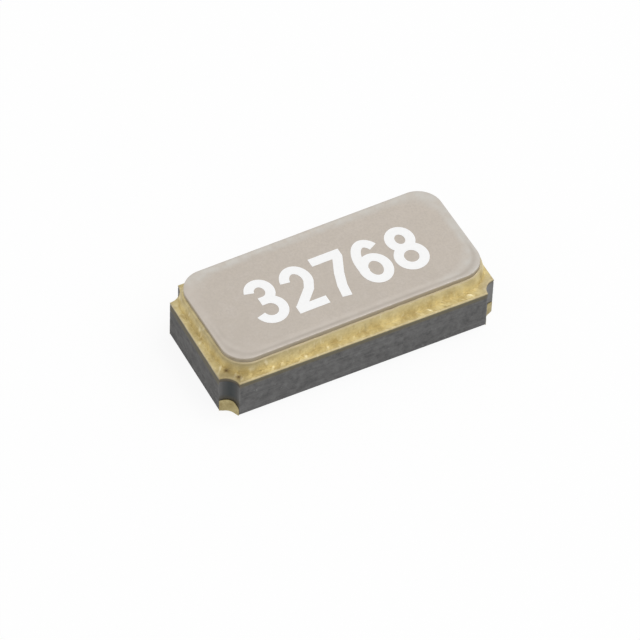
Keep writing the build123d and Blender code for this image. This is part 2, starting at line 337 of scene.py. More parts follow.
def make_ceramic(name, tone, top, wrap_top):
    """Fired black alumina: matte, speckled, olive under the plating, with painted shade on its end faces and
    in the castellations, and painted highlights on the castellations' edges.
    """
    top, wrap_top = top / MM, wrap_top / MM
    coat = Finish(name, shade(tone, 0.64))
    coat.paint(coat.grade(coat.grain(14.0, 5, 0.65), 0.32, 0.68), shade(tone, 1.36))
    streak = coat.grain(1.0, 3, stretch=(1.1, 1.1, 46), seed=3)
    coat.paint(coat.grade(streak, 0.50, 0.68, 0.45), shade(tone, 1.45))
    coat.paint(coat.grade(coat.grain(26.0, 2, seed=7), 0.68, 0.77, 0.7), shade(tone, 2.3))
    height = coat.axis(coat.place, 2)
    at_end = coat.calc("ABSOLUTE", coat.axis(coat.add("ShaderNodeTexCoord").outputs["Normal"], 0))
    # Painted shade: faces turned towards the ends are multiplied darker than the long sides.
    coat.paint(at_end, END_SHARES, "MULTIPLY")
    tinted = coat.calc("MULTIPLY_ADD", at_end, 0.04, height)
    coat.paint(coat.span(tinted, top - 0.055, top - 0.018, 0.0, 0.85, smooth=True), OLIVE_CERAMIC)
    # Painted shade and light in the castellations: lighter at the notch's mouth, darkest deep inside it, with
    # a painted brown shadow at the top under the plating and browner just above the wrap.
    dark = coat.ramp(coat.mark("around"), (
        (0.0, 0.165), (0.3, 0.140), (0.55, (0.100, 0.102, 0.102)), (0.85, (0.078, 0.083, 0.084)),
        (1.0, (0.060, 0.067, 0.069)),
    ))
    # Painted shadow, brown, under the plating at the top of each castellation.
    dark = coat.blend(coat.span(height, top - 0.030, top - 0.012, 0.0, 0.85), dark, RIM_CERAMIC)
    foot = coat.span(height, wrap_top + 0.010, wrap_top + 0.075, 0.85, 0.0)
    dark = coat.blend(foot, dark, FOOT_CERAMIC)
    # Painted highlights along the castellations' edges, and the front right castellation's wall painted
    # paler.
    coat.paint(coat.mark("worn"), shade(tone, 1.9))
    coat.paint(coat.mark("hollow"), dark)
    pores = coat.grain(45.0, 4, seed=5)
    return coat.ready(pores, 2.5 * MICRON, 0.6, Roughness=0.62, Specular_IOR_Level=0.18)


def make_gold(name, gold, deep, crested=False, side_top=None, metallic=1.0, pale_tone=PALE_METAL):
    """Rough plating, mottled deep and gold, with painted shade in its relief's hollows and painted glints on
    its crests, and painted shade on its side below side_top.
    """
    coat = Finish(name, deep)
    fine = coat.grain(38.0, 3, seed=2)
    coat.paint(coat.grade(coat.grain(8.0, 4, seed=1), 0.36, 0.60), gold)
    coat.paint(coat.grade(fine, 0.48, 0.72, 0.35), shade(gold, 1.22))
    coat.paint(coat.grade(coat.grain(15.0, 2, seed=9), 0.55, 0.70, 0.5), shade(deep, BROWN_SHARES))
    if crested:
        crest = coat.mark("crest")
        # Painted shade in the relief's hollows, and painted glints on its crests.
        coat.paint(coat.grade(crest, 0.28, 0.38, first=0.50, last=0.0), shade(deep, 0.72))
        coat.paint(coat.grade(crest, 0.60, 0.74), CREST_METAL)
    # Darker plating near the castellations, and painted shade at the left end and on the braze's slope near
    # the lid.
    coat.paint(coat.mark("dull"), DULL_METAL)
    # Painted highlights: on the band's outer edge, and on the braze's ledge.
    coat.paint(coat.mark("pale"), pale_tone)
    # Painted shade on the band's vertical side, below side_top.
    if side_top:
        height = coat.axis(coat.place, 2)
        coat.paint(coat.span(height, side_top / MM - 0.010, side_top / MM, 1.0, 0.0), SIDE_METAL)
    coat.paint(coat.mark("stain"), STAINED_METAL)
    rough = coat.grade(fine, 0.30, 0.75, first=0.50, last=0.36)
    pits = coat.grain(60.0, 3, seed=4)
    return coat.ready(pits, 3 * MICRON, 0.7, Metallic=metallic, Roughness=rough)


def make_nickel(name, face, track):
    """Nickel-plated sheet, satin: mottled, painted lighter towards the back right, paler on the weld track,
    with painted shade in the track's creases and on the side.
    """
    coat = Finish(name, shade(face, 0.97))
    patch = coat.grain(9.0, 4, 0.6, seed=8)
    fine = coat.grain(48.0, 3, 0.6, seed=2)
    coat.paint(coat.grade(coat.grain(2.2, 4, seed=1), 0.30, 0.70), shade(face, 1.03))
    coat.paint(coat.grade(patch, 0.46, 0.66, 0.5), PATCH_NICKEL)
    # Painted light: the face is painted lighter towards the back right.
    far = coat.vector("DOT_PRODUCT", coat.place, (0.5, 0.9, 0))
    coat.paint(coat.span(far, -0.6, 1.2, 0.0, 0.55), shade(face, 1.09))
    coat.paint(coat.grade(fine, 0.40, 0.64, 0.7), shade(face, 0.90))
    on_track = coat.calc("MULTIPLY", coat.mark("track"), coat.grade(patch, 0.35, 0.60, first=0.25))
    rear = coat.span(coat.vector("DOT_PRODUCT", coat.place, (0.45, 1, 0)), -0.16, 0.02)
    coat.paint(on_track, coat.blend(rear, track, shade(track, TRACK_REAR_SHARES)))
    # Painted shade in strips on the weld track along the front and left edges.
    uneven = coat.grade(coat.grain(3.0, 4, seed=12), 0.35, 0.60, first=0.4)
    coat.paint(coat.calc("MULTIPLY", coat.mark("crease"), uneven), shade(face, 0.86))
    # Painted shade on the lid's side.
    coat.paint(coat.mark("side"), SIDE_NICKEL)
    rough = coat.grade(fine, 0.30, 0.70, first=0.48, last=0.40)
    rolled = coat.grain(1.0, 3, stretch=(2.0, 60.0, 2.0), seed=6)
    return coat.ready(coat.calc("ADD", fine, rolled), 1.2 * MICRON, 0.5, Metallic=1.0, Roughness=rough)


def make_ink(name, tone):
    """Printed white ink."""
    coat = Finish(name, tone)
    fine = coat.grain(30.0, 3)
    coat.paint(coat.grade(fine, 0.3, 0.7), shade(tone, 0.97))
    return coat.ready(fine, 1 * MICRON, 0.3, Roughness=0.7)


def make_quartz():
    """Clear etched quartz."""
    coat = Finish("quartz", (0.95, 0.97, 0.98))
    etched = coat.grain(25.0, 3)
    rough = coat.grade(etched, 0.3, 0.7, first=0.06, last=0.14)
    return coat.ready(etched, 0.5 * MICRON, 0.3, Roughness=rough, Transmission_Weight=0.9, IOR=1.544)


def make_tungsten():
    """Sintered conductor, dull grey."""
    coat = Finish("tungsten", (0.20, 0.20, 0.21))
    pores = coat.grain(50.0, 3)
    coat.paint(coat.grade(pores, 0.4, 0.6), (0.34, 0.34, 0.35))
    return coat.ready(pores, 1.5 * MICRON, 0.6, Metallic=0.9, Roughness=0.6)


def make_adhesive():
    """Silver-filled epoxy."""
    coat = Finish("silver_adhesive", (0.36, 0.35, 0.33))
    flakes = coat.grain(70.0, 2)
    coat.paint(coat.grade(flakes, 0.45, 0.6), (0.66, 0.65, 0.62))
    return coat.ready(flakes, 2 * MICRON, 0.6, Metallic=0.5, Roughness=0.55)


# ---- outlines and closed meshes ----
LONG_STEPS, SHORT_STEPS, CORNER_STEPS = 320, 130, 24


def outline(half_x, half_y, radius, inset=0.0, notched=False, centre=(0.0, 0.0), turn=0.0,
            steps=(LONG_STEPS, SHORT_STEPS, CORNER_STEPS)):
    """One closed outline, counterclockwise, as (x, y) points.

    Its corners are rounded, or notched by a circle about the uninset corner, whose radius is scaled by
    the corner's share. Every outline made with the same steps has matching points, so any two can be
    joined face by face.
    """
    long_steps, short_steps, corner_steps = steps
    corners = []
    for quarter, (side_x, side_y) in enumerate(((1, -1), (1, 1), (-1, 1), (-1, -1))):
        base = math.radians(90 * quarter)
        if notched:
            reach = radius * NOTCH_SHARES[side_x, side_y] + inset
            lean = math.asin(inset / reach)
            middle = (side_x * half_x, side_y * half_y)
            start, end = base + math.pi - lean, base + math.pi / 2 + lean
        else:
            reach = max(radius - inset, 0.2 * MICRON)
            middle = (side_x * (half_x - inset - reach), side_y * (half_y - inset - reach))
            start, end = base - math.pi / 2, base
        corners.append([
            (middle[0] + reach * math.cos(start + (end - start) * i / corner_steps),
             middle[1] + reach * math.sin(start + (end - start) * i / corner_steps))
            for i in range(corner_steps + 1)
        ])
    points = []
    for quarter, corner in enumerate(corners):
        following = corners[(quarter + 1) % 4][0]
        count = short_steps if quarter % 2 == 0 else long_steps
        last = corner[-1]
        points += corner
        points += [
            (last[0] + (following[0] - last[0]) * i / count, last[1] + (following[1] - last[1]) * i / count)
            for i in range(1, count)
        ]
    cosine, sine = math.cos(turn), math.sin(turn)
    return [(centre[0] + x * cosine - y * sine, centre[1] + x * sine + y * cosine) for x, y in points]


def from_notch(body, x, y):
    """Distance from the nearest castellation's wall, positive on the body's side, and that notch's radius."""
    half_x, half_y = half_sizes()
    radius = body.notch_radius * NOTCH_SHARES[1 if x > 0 else -1, 1 if y > 0 else -1]
    return math.dist((abs(x), abs(y)), (half_x, half_y)) - radius, radius


def level(points, z):
    """The outline's points at one height."""
    return [Vector((x, y, z)) for x, y in points]


def between(first, second, share):
    """Points part of the way from one ring to another."""
    return [a.lerp(b, share) for a, b in zip(first, second)]


def join_rings(name, rings, closed=False, flow=False, **marks):
    """A closed mesh through matching rings, capped at both ends or closed into a tube round a hole.

    Each mark is a list with one value to each ring, or one list of values to each ring, kept as a
    point attribute. The flow attribute runs round the rings without a seam, and across them in its z.
    """
    mesh = bpy.data.meshes.new(name)
    count = len(rings[0])
    vertices = [point for ring in rings for point in ring]
    faces = []
    last = len(rings) if closed else len(rings) - 1
    for r in range(last):
        low, high = r * count, (r + 1) % len(rings) * count
        for i in range(count):
            j = (i + 1) % count
            faces.append((low + i, low + j, high + j, high + i))
    if not closed:
        faces.append(tuple(reversed(range(count))))
        faces.append(tuple(range((len(rings) - 1) * count, len(rings) * count)))
    mesh.from_pydata(vertices, [], faces)
    add_marks(mesh, **{
        mark: [
            number for value in values
            for number in (value if isinstance(value, (list, tuple)) else [value] * count)
        ]
        for mark, values in marks.items()
    })
    if flow:
        data = mesh.attributes.new("flow", "FLOAT_VECTOR", "POINT").data
        steps = [math.dist(rings[0][i][:2], rings[0][i - 1][:2]) for i in range(count)]
        radius = sum(steps) / math.tau
        turns, total = [], 0.0
        for step in steps:
            total += step
            turns.append(total / radius)
        reach = [0.0]
        for r in range(1, len(rings)):
            reach.append(reach[-1] + (rings[r][count // 3] - rings[r - 1][count // 3]).length)
        data.foreach_set("vector", [
            value for across in reach for turn in turns
            for value in (radius * math.cos(turn), radius * math.sin(turn), across)
        ])
    work = bmesh.new()
    work.from_mesh(mesh)
    bmesh.ops.remove_doubles(work, verts=work.verts, dist=0.02 * MICRON)
    bmesh.ops.recalc_face_normals(work, faces=work.faces)
    work.to_mesh(mesh)
    work.free()
    return new_piece(name, mesh)


def add_marks(mesh, **marks):
    """Keeps lists of numbers, one number to each point, as attributes."""
    for name, values in marks.items():
        kept = mesh.attributes.get(name) or mesh.attributes.new(name, "FLOAT", "POINT")
        kept.data.foreach_set("value", values)


class Rings:
    """Matching rings in order, each with its value, or list of values, for every mark."""

    def __init__(self, *marks):
        self.rings = []
        self.marks = {mark: [] for mark in marks}

    def place(self, ring, **values):
        """Adds a ring. A mark that isn't given is zero on it."""
        self.rings.append(ring)
        for mark, kept in self.marks.items():
            kept.append(values.get(mark, 0.0))

    def join(self, name, closed=False):
        """The piece through these rings, with its marks and the flow attribute."""
        return join_rings(name, self.rings, closed=closed, flow=True, **self.marks)


def new_piece(name, mesh):
    """An object at the origin that holds the mesh."""
    mesh.name = name
    piece = bpy.data.objects.new(name, mesh)
    bpy.context.scene.collection.objects.link(piece)
    return piece


def made_mesh(piece):
    """The mesh that a piece's modifiers make."""
    bpy.context.view_layer.update()
    return bpy.data.meshes.new_from_object(piece.evaluated_get(bpy.context.evaluated_depsgraph_get()))


def change_mesh(piece, mesh):
    """Gives a piece another mesh and drops the old one."""
    old = piece.data
    piece.data = mesh
    bpy.data.meshes.remove(old)
    mesh.name = piece.name


def combine(piece, others, operation):
    """Cuts closed pieces out of a piece, or unites them with it, and drops them."""
    for other in others:
        change = piece.modifiers.new("combine", "BOOLEAN")
        change.operation = operation
        change.solver = "EXACT"
        change.object = other
    mesh = made_mesh(piece)
    piece.modifiers.clear()
    change_mesh(piece, mesh)
    for other in others:
        bpy.data.objects.remove(other)


def finish_piece(piece, material, replaced=(), sharp=32):
    """Gives a piece its material and shading, ties it to the CAD body, and hides the CAD nodes that it
    replaces.
    """
    mesh = piece.data
    mesh.materials.clear()
    mesh.materials.append(material)
    for face in mesh.polygons:
        face.material_index = 0
    mesh.shade_smooth()
    mesh.set_sharp_from_angle(angle=math.radians(sharp))
    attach(piece, BODY)
    if replaced:
        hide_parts(*replaced)


# ---- geometry nodes ----
def geometry_tree(name, sizes):
    """A geometry tree with a geometry socket each way and the named inputs."""
    group = bpy.data.node_groups.new(name, "GeometryNodeTree")
    face = group.interface
    face.new_socket("Geometry", in_out="INPUT", socket_type="NodeSocketGeometry")
    for label, (kind, value) in sizes.items():
        socket = face.new_socket(label, in_out="INPUT", socket_type=kind)
        if value is not None:
            socket.default_value = value
    face.new_socket("Geometry", in_out="OUTPUT", socket_type="NodeSocketGeometry")
    tree = Tree(group)
    return tree, tree.add("NodeGroupInput").outputs, tree.add("NodeGroupOutput").inputs


def end_tree(tree, given, result, shape):
    """Ends a tree in Realize Instances and Set Material."""
    whole = tree.add("GeometryNodeRealizeInstances", {0: shape}).outputs[0]
    dressed = tree.add("GeometryNodeSetMaterial", {"Geometry": whole, "Material": given["Material"]})
    tree.plug(dressed.outputs[0], result[0])
    return tree.group


def relief_tree():
    """Raises and lowers a surface by ripples and separate bumps, and keeps the result as 'crest'.

    Both follow the 'flow' attribute, drawn out across the band. The ripples reach as far as 'free'
    lets them, and the bumps come up where 'bumpy' is high.
    """
    tree, given, result = geometry_tree("Surface relief", {
        "Height": ("NodeSocketFloat", MICRON),
        "Features per mm": ("NodeSocketFloat", 10.0),
        "Across": ("NodeSocketFloat", 1.0),
        "Detail": ("NodeSocketFloat", 3.0),
        "Bump height": ("NodeSocketFloat", 0.0),
        "Bumps per mm": ("NodeSocketFloat", 12.0),
        "Seed": ("NodeSocketFloat", 1.0),
        "Material": ("NodeSocketMaterial", None),
    })

    def product(*values):
        """The values multiplied together."""
        so_far = values[0]
        for value in values[1:]:
            so_far = tree.calc("MULTIPLY", so_far, value)
        return so_far

    def mark(name, kind="FLOAT"):
        """A point attribute's value."""
        return tree.add("GeometryNodeInputNamedAttribute", {"Name": name}, data_type=kind).outputs[0]

    drawn = {0: 1 / MM, 1: 1 / MM, 2: product(given["Across"], 1 / MM)}
    drawn = tree.add("ShaderNodeCombineXYZ", drawn).outputs[0]
    place = tree.vector("MULTIPLY", mark("flow", "FLOAT_VECTOR"), drawn)
    rough = tree.add(
        "ShaderNodeTexNoise",
        {"Vector": place, "W": given["Seed"], "Scale": given["Features per mm"], "Detail": given["Detail"]},
        noise_dimensions="4D",
    ).outputs[0]
    cells = tree.add(
        "ShaderNodeTexVoronoi", {"Vector": place, "W": given["Seed"], "Scale": given["Bumps per mm"]},
        voronoi_dimensions="4D",
    ).outputs
    chosen = tree.span(tree.axis(cells["Color"], 0), 0.12, 0.58, smooth=True)
    bump = product(tree.span(cells["Distance"], 0.62, 0.12, smooth=True), chosen, mark("bumpy"))
    crest = tree.calc("ADD", rough, product(bump, 0.38))
    kept = tree.add(
        "GeometryNodeStoreNamedAttribute", {"Geometry": given[0], "Name": "crest", "Value": crest},
        data_type="FLOAT", domain="POINT",
    ).outputs[0]
    swing = tree.calc("ADD", rough, -0.5)
    waves = product(swing, product(given["Height"], 2.0), mark("free"))
    lift = tree.calc("ADD", waves, product(bump, given["Bump height"]))
    shift = tree.vector("SCALE", tree.add("GeometryNodeInputNormal").outputs[0], lift)
    moved = tree.add("GeometryNodeSetPosition", {"Geometry": kept, "Offset": shift}).outputs[0]
    return end_tree(tree, given, result, moved)


def stroke_tree():
    """Sweeps a flat stroke along drawn lines and unites the strokes where they cross."""
    tree, given, result = geometry_tree("Printed strokes", {
        "Stroke": ("NodeSocketFloat", 0.1 * MM),
        "Thickness": ("NodeSocketFloat", 3 * MICRON),
        "Material": ("NodeSocketMaterial", None),
    })
    section = tree.add(
        "GeometryNodeCurvePrimitiveQuadrilateral",
        {"Width": given["Stroke"], "Height": given["Thickness"]}, mode="RECTANGLE",
    ).outputs[0]
    upright = tree.add("GeometryNodeSetCurveNormal", {0: given[0]}, mode="Z_UP").outputs[0]
    swept = tree.add(
        "GeometryNodeCurveToMesh", {"Curve": upright, "Profile Curve": section, "Fill Caps": True}
    ).outputs[0]
    united = tree.add(
        "GeometryNodeMeshBoolean", {"Mesh 2": swept, "Self Intersection": True},
        operation="UNION", solver="EXACT",
    ).outputs[0]
    return end_tree(tree, given, result, united)


def evaluate(piece, tree, **values):
    """The mesh that a geometry tree makes of a piece."""
    change = piece.modifiers.new(tree.name, "NODES")
    change.node_group = tree
    sockets = {s.name: s.identifier for s in tree.interface.items_tree if s.in_out == "INPUT"}
    for label, value in values.items():
        change[sockets[label.replace("_", " ")]] = value
    mesh = made_mesh(piece)
    piece.modifiers.remove(change)
    return mesh


def run_tree(piece, tree, **values):
    """Runs a geometry tree on a mesh piece and keeps the result as its mesh."""
    change_mesh(piece, evaluate(piece, tree, **values))


# ---- figures, drawn as strokes in a box one wide and one high ----
FIGURE_GAP = 0.09


def bow(x, y, across, up, start, end, steps=28):
    """Points along part of an ellipse, from one angle in degrees to another."""
    return [
        (x + across * math.cos(math.radians(start + (end - start) * i / steps)),
         y + up * math.sin(math.radians(start + (end - start) * i / steps)))
        for i in range(steps + 1)
    ]


def figure_strokes(figure):
    """One figure's strokes, each a list of points and whether it is a closed loop."""

    def ring(x, y, across, up):
        """A whole ellipse."""
        return bow(x, y, across, up, 0, 360 - 360 / 48, 47), True

    strokes = {
        "0": [ring(0.5, 0.5, 0.5, 0.5)],
        "1": [([(0.10, 0.78), (0.40, 0.84), (0.58, 0.96)], False), ([(0.60, 1.10), (0.60, -0.10)], False)],
        "2": [(bow(0.49, 0.70, 0.47, 0.30, 172, -18) + [(0.76, 0.42), (0.0, 0.03)], False),
              ([(-0.18, 0.0), (1.18, 0.0)], False)],
        "3": [(bow(0.48, 0.765, 0.43, 0.235, 168, -92) + [(0.26, 0.53)], False),
              ([(0.26, 0.53)] + bow(0.48, 0.265, 0.52, 0.265, 92, -168), False)],
        "4": [([(0.78, 1.10), (0.78, -0.10)], False), ([(0.74, 0.98), (0.0, 0.29)], False),
              ([(-0.20, 0.26), (1.20, 0.26)], False)],
        "5": [([(0.06, 1.0), (1.10, 1.0)], False), ([(0.14, 1.04), (0.04, 0.50)], False),
              (bow(0.48, 0.32, 0.52, 0.32, 148, -165), False)],
        "6": [ring(0.5, 0.30, 0.5, 0.30),
              (bow(0.54, 0.48, 0.54, 0.52, 43, 200), False)],
        "7": [([(-0.18, 1.0), (1.20, 1.0)], False),
              ([(1.0, 0.93), (0.64, 0.52), (0.44, 0.20), (0.36, -0.10)], False)],
        "8": [ring(0.5, 0.765, 0.42, 0.235), ring(0.5, 0.265, 0.52, 0.265)],
        "9": [ring(0.5, 0.70, 0.5, 0.30),
              (bow(0.46, 0.52, 0.54, 0.52, 223, 380), False)],
        ".": [([(0.5, 0.08), (0.5, -0.08)], False)],
    }
    return strokes[figure]


# ---- pieces ----
def half_sizes():
    """Half the body's length and width."""
    return BASE_HIGH.x, BASE_HIGH.y


def inner_outline(body, spare, steps=(LONG_STEPS, SHORT_STEPS, CORNER_STEPS)):
    """The cavity's outline, grown by a spare width."""
    half_x, half_y = half_sizes()
    wide_x, wide_y = half_x - body.wall_short + spare, half_y - body.wall_long + spare
    return outline(wide_x, wide_y, body.cavity_corner + spare, steps=steps)


class CRYSTAL_OT_base(bpy.types.Operator):
    """Build the ceramic base with castellations, cavity, shelf and layer lines"""
    bl_idname = "crystal.base"
    bl_label = "Ceramic base"

    def execute(self, context):
        body = context.scene.crystal_body
        half_x, half_y = half_sizes()
        low, high = BASE_LOW.z, BASE_HIGH.z
        wear = body.edge_wear

        def wall(inset, z):
            """The body's outline, inset, at one height."""
            return level(outline(half_x, half_y, body.notch_radius, inset, True), z)

        rings = [wall(inset, low + rise) for inset, rise in rounding(wear, 6)]
        layers = [body.floor_top + (high - body.floor_top) * share for share in LAYER_SHARES]
        wall_steps = 30
        for i in range(1, wall_steps):
            z = low + wear + (high - low - 1.5 * wear) * i / wall_steps
            depth = sum(body.layer_groove * hump(z, layer, 5 * MICRON) for layer in layers)
            rings.append(wall(max(depth, 0.01 * MICRON), z))
        rings.append(wall(0.5 * wear, high))
        base = join_rings("ceramic_body", rings)
        self.hollow_out(base, body, high)
        self.mark_wear(base, body)
        tone = context.scene.crystal_colours.ceramic
        ceramic = make_ceramic("black_ceramic", tone, high, TERMINAL_HIGH.z)
        finish_piece(base, ceramic, ["ceramic_base"])
        return {"FINISHED"}

    def hollow_out(self, base, body, high):
        """Cuts the cavity, down to the shelf at the fork's end and to the floor beyond it."""
        half_x, half_y = half_sizes()
        around = inner_outline(body, 0.0, steps=(40, 16, 12))
        step_x = body.wall_short - half_x + body.shelf_length
        upper = join_rings("upper", [level(around, body.shelf_top), level(around, high + body.edge_wear)])
        deep = [point for point in around if point[0] > step_x + 10 * MICRON]
        gap = half_y - body.wall_long
        split = next(i for i in range(len(deep)) if abs(deep[i][1] - deep[i - 1][1]) > gap)
        deep = deep[split:] + deep[:split]
        deep = [(step_x, deep[0][1])] + deep + [(step_x, deep[-1][1])]
        lower_top = body.shelf_top + body.edge_wear
        lower = join_rings("lower", [level(deep, body.floor_top), level(deep, lower_top)])
        combine(base, [upper, lower], "DIFFERENCE")

    def mark_wear(self, base, body):
        """Marks the castellations' walls for their painted shade, the place round them, the painted
        highlights along their edges, and the front right wall, painted paler with less shade.
        """
        half_x, half_y = half_sizes()
        hollow, around, worn = [], [], []
        for vertex in base.data.vertices:
            x, y = vertex.co.xy
            near, radius = from_notch(body, x, y)
            on_wall = near <= 3 * MICRON
            dusty = x > 0 > y
            hollow.append((0.25 if dusty else 1.0) if on_wall else 0.0)
            around.append(min(1.0, 2 * (half_x - abs(x)) * (half_y - abs(y)) / radius ** 2))
            # Painted highlight along the castellations' edges.
            rubbed = 0.40 * max(0.0, 1 - near / (20 * MICRON))
            worn.append((1.0 if dusty else 0.0) if on_wall else rubbed)
        add_marks(base.data, hollow=hollow, around=around, worn=worn)


class CRYSTAL_OT_seal(bpy.types.Operator):
    """Build the plated seal band with its uneven surface, bumps and stains"""
    bl_idname = "crystal.seal"
    bl_label = "Seal band"

    def execute(self, context):
        body, colours = context.scene.crystal_body, context.scene.crystal_colours
        half_x, half_y = half_sizes()
        low, high = BAND_LOW.z, BAND_HIGH.z
        inner = inner_outline(body, body.band_setback)

        def edge(inset):
            """The band's outer outline, inset."""
            return outline(half_x, half_y, body.notch_radius, inset, True)

        # Painted highlight along the band's outer edge, and on its first ring inward.
        polish = [self.polish(body, x, y) for x, y in edge(BAND_BEVEL)]
        rings = Rings("free", "bumpy", "pale")
        rings.place(level(edge(2 * MICRON), low))
        rings.place(level(edge(0.01 * MICRON), low + 4 * MICRON), free=0.3)
        rings.place(level(edge(0.01 * MICRON), high - BAND_BEVEL), free=0.4)
        for down, inset in rounding(BAND_BEVEL, 5)[1:]:
            rings.place(level(edge(inset), high - down), free=0.3, pale=[0.75 * share for share in polish])
        top_outer, top_inner = level(edge(BAND_BEVEL), high), level(inner, high)
        across = 34
        for i in range(1, across):
            share = (i / across) ** 1.3
            bumps = hump(share, 0.19, 0.11)
            rings.place(
                between(top_outer, top_inner, share),
                free=min(1.0, 0.35 + share * 9) * clamp((0.70 - share) * 6),
                bumpy=[bumps * (1.0 if shine > 0.6 else 0.4) for shine in polish],
                pale=[0.5 * shine for shine in polish] if i == 1 else 0.0,
            )
        rings.place(top_inner)
        rings.place(level(inner, low))
        band = rings.join("seal_plating", closed=True)
        self.mark_stains(band, body, high)
        # Where the painted shade on the band's side ends.
        side_top = high - 9 * MICRON
        gold = make_gold("gold_plating", colours.gold, colours.gold_deep, True, side_top, PLATED)
        run_tree(
            band, relief_tree(), Height=body.band_relief, Features_per_mm=19.0, Across=0.42, Detail=2.5,
            Bump_height=body.bump_height, Bumps_per_mm=19.0, Seed=8.0, Material=gold,
        )
        finish_piece(band, gold, ["seal_band"], sharp=50)
        return {"FINISHED"}

    def mark_stains(self, band, body, high):
        """Marks and sinks the stained spots, marks the band's side darker along the castellations, and marks
        the darker plating and painted shade near the castellations and at the left end, and a painted
        highlight near the front right castellation.
        """
        half_x, half_y = half_sizes()
        spots = [(x - half_x, y - half_y) for x, y in STAINS]
        stain, dull = [], []
        pale = [kept.value for kept in band.data.attributes["pale"].data]
        for i, vertex in enumerate(band.data.vertices):
            x, y, z = vertex.co
            near = from_notch(body, x, y)[0]
            # The band's side along the castellations is darkened.
            stained = 0.45 if near < 20 * MICRON else 0.0
            if z > high - BAND_BEVEL:
                stained = 0.85 * hump(min(math.dist((x, y), spot) for spot in spots), 0.0, 22 * MICRON)
                vertex.co.z -= 6 * MICRON * stained
            stain.append(stained)
            # Painted highlight near the front right castellation.
            if x > 0 > y:
                pale[i] = max(pale[i], 0.55 * max(0.0, 1 - near / (0.10 * MM)))
            # Darker near the castellations, most at the front left; at the left end, painted shade.
            reach = 0.12 * MM * (1 + 0.5 * ripple(x, y, 16))
            share = (0.75 if x < 0 and y < 0 else 0.45) * clamp(1.25 - near / reach)
            dull.append(max(share, 0.08 if x < -half_x + 0.12 * MM else 0.0))
        add_marks(band.data, stain=stain, dull=dull, pale=pale)

    def polish(self, body, x, y):
        """How strongly the band's outer edge is painted with a highlight: most on the sides, less at the
        ends, none in the notches.
        """
        if from_notch(body, x, y)[0] < 20 * MICRON:
            return 0.0
        return 0.5 if half_sizes()[0] - abs(x) < 20 * MICRON else 0.8


def lid_outline(inset=0.0, corner=None):
    """The lid's outline, turned and shifted as it was placed, inset with its own or a given corner radius."""
    lid = bpy.context.scene.crystal_lid
    half_x, half_y = half_sizes()
    centre = (LID_LOW + LID_HIGH) / 2
    shrink = 0.0 if corner is None else inset
    return outline(
        half_x - lid.margin - shrink, half_y - lid.margin - shrink,
        lid.corner if corner is None else corner, inset - shrink, centre=(centre.x, centre.y), turn=lid.turn,
    )


class CRYSTAL_OT_braze(bpy.types.Operator):
    """Build the braze between band and lid, with its fillet at the lid's foot"""
    bl_idname = "crystal.braze"
    bl_label = "Braze ring"

    def execute(self, context):
        body, lid = context.scene.crystal_body, context.scene.crystal_lid
        colours = context.scene.crystal_colours
        inner = inner_outline(body, body.band_setback + lid.braze_setback)
        low, high = BAND_HIGH.z, LID_LOW.z
        top = high + lid.fillet_climb
        foot = [Vector(point) for point in lid_outline()]
        outward = [(Vector(b) - a).normalized() for a, b in zip(foot, lid_outline(-0.1 * MM))]
        left_corner = (LID_LOW.x, LID_LOW.y)
        thin_place = (LID_LOW.x + 0.10 * MM, LID_LOW.y + 0.10 * MM)
        ledge, slope, tint, dim, upper = [], [], [], [], []
        for at, out in zip(foot, outward):
            corner = hump(math.dist(at, thin_place), 0.0, 0.30 * MM)
            sway = ripple(at.x, at.y, 5)
            wide = lid.ledge * (1.0 + 0.4 * sway - 0.3 * corner)
            long = lid.fillet_width * (1 - 0.45 * corner + 0.35 * ripple(at.x, at.y, 17))
            fit = min(1.0, self.room(body, at, out) / (wide + 1.18 * long))
            ledge.append(wide * fit)
            slope.append(long * fit)
            # Painted highlight on the ledge: strongest facing front, about half facing right, faint facing
            # left and back.
            tint.append(min(1.0, 0.12 + 0.9 * max(0.0, -out.y) + 0.4 * max(0.0, out.x)))
            # Painted shade near the front left corner, in patches.
            dim.append(0.30 * corner * max(0.0, 0.5 + sway))
            # Painted shade on the upper slope, towards the left corner.
            upper.append(0.28 * hump(math.dist(at, left_corner), 0.0, 1.0 * MM))
        rings = Rings("pale", "dull", "free")
        rings.place(level(inner, low))
        for along_ledge, height, down_slope, dullness, roam in reversed(BRAZE_PROFILE):
            ring = []
            for at, out, wide, long in zip(foot, outward, ledge, slope):
                spot = at + out * (along_ledge * wide + down_slope * long)
                lift = 5 * MICRON * height * ripple(at.x, at.y, 12)
                ring.append(Vector((spot.x, spot.y, low + (top - low) * height + lift)))
            # Painted shade on the braze: by the profile, darkest near the lid, plus the corner shade and, on
            # the upper rows, the shade towards the left corner.
            high_up = clamp((height - 0.6) / 0.25)
            dull = [min(1.0, dullness + a + high_up * b) for a, b in zip(dim, upper)]
            rings.place(ring, pale=tint if height > 0.93 else 0.0, dull=dull, free=roam)
        rings.place(level(lid_outline(MICRON), top - 8 * MICRON), pale=tint, dull=dim)
        rings.place(level(lid_outline(MICRON), high))
        rings.place(level(inner, high))
        braze = rings.join("braze_fillet", closed=True)
        # Painted light: the braze's gold is a copy of the band's gold made 6 % lighter.
        solder = make_gold(
            "braze", shade(colours.gold, 1.06), shade(colours.gold_deep, 1.06), True,
            metallic=PLATED, pale_tone=LEDGE_METAL,
        )
        run_tree(
            braze, relief_tree(), Height=6 * MICRON, Features_per_mm=17.0, Across=0.5, Detail=2.0, Seed=6.0,
            Material=solder,
        )
        finish_piece(braze, solder, ["braze_ring"], sharp=60)
        return {"FINISHED"}

    def room(self, body, at, out):
        """How far the braze may run outward from a place on the lid's foot and still lie on the band."""
        edge = 10 * MICRON
        reaches = [
            (half - edge - abs(place)) / max(abs(way), 0.001)
            for half, place, way in zip(half_sizes(), at, out)
        ]
        reaches.append(from_notch(body, *at)[0] - edge)
        return max(min(reaches), MICRON)


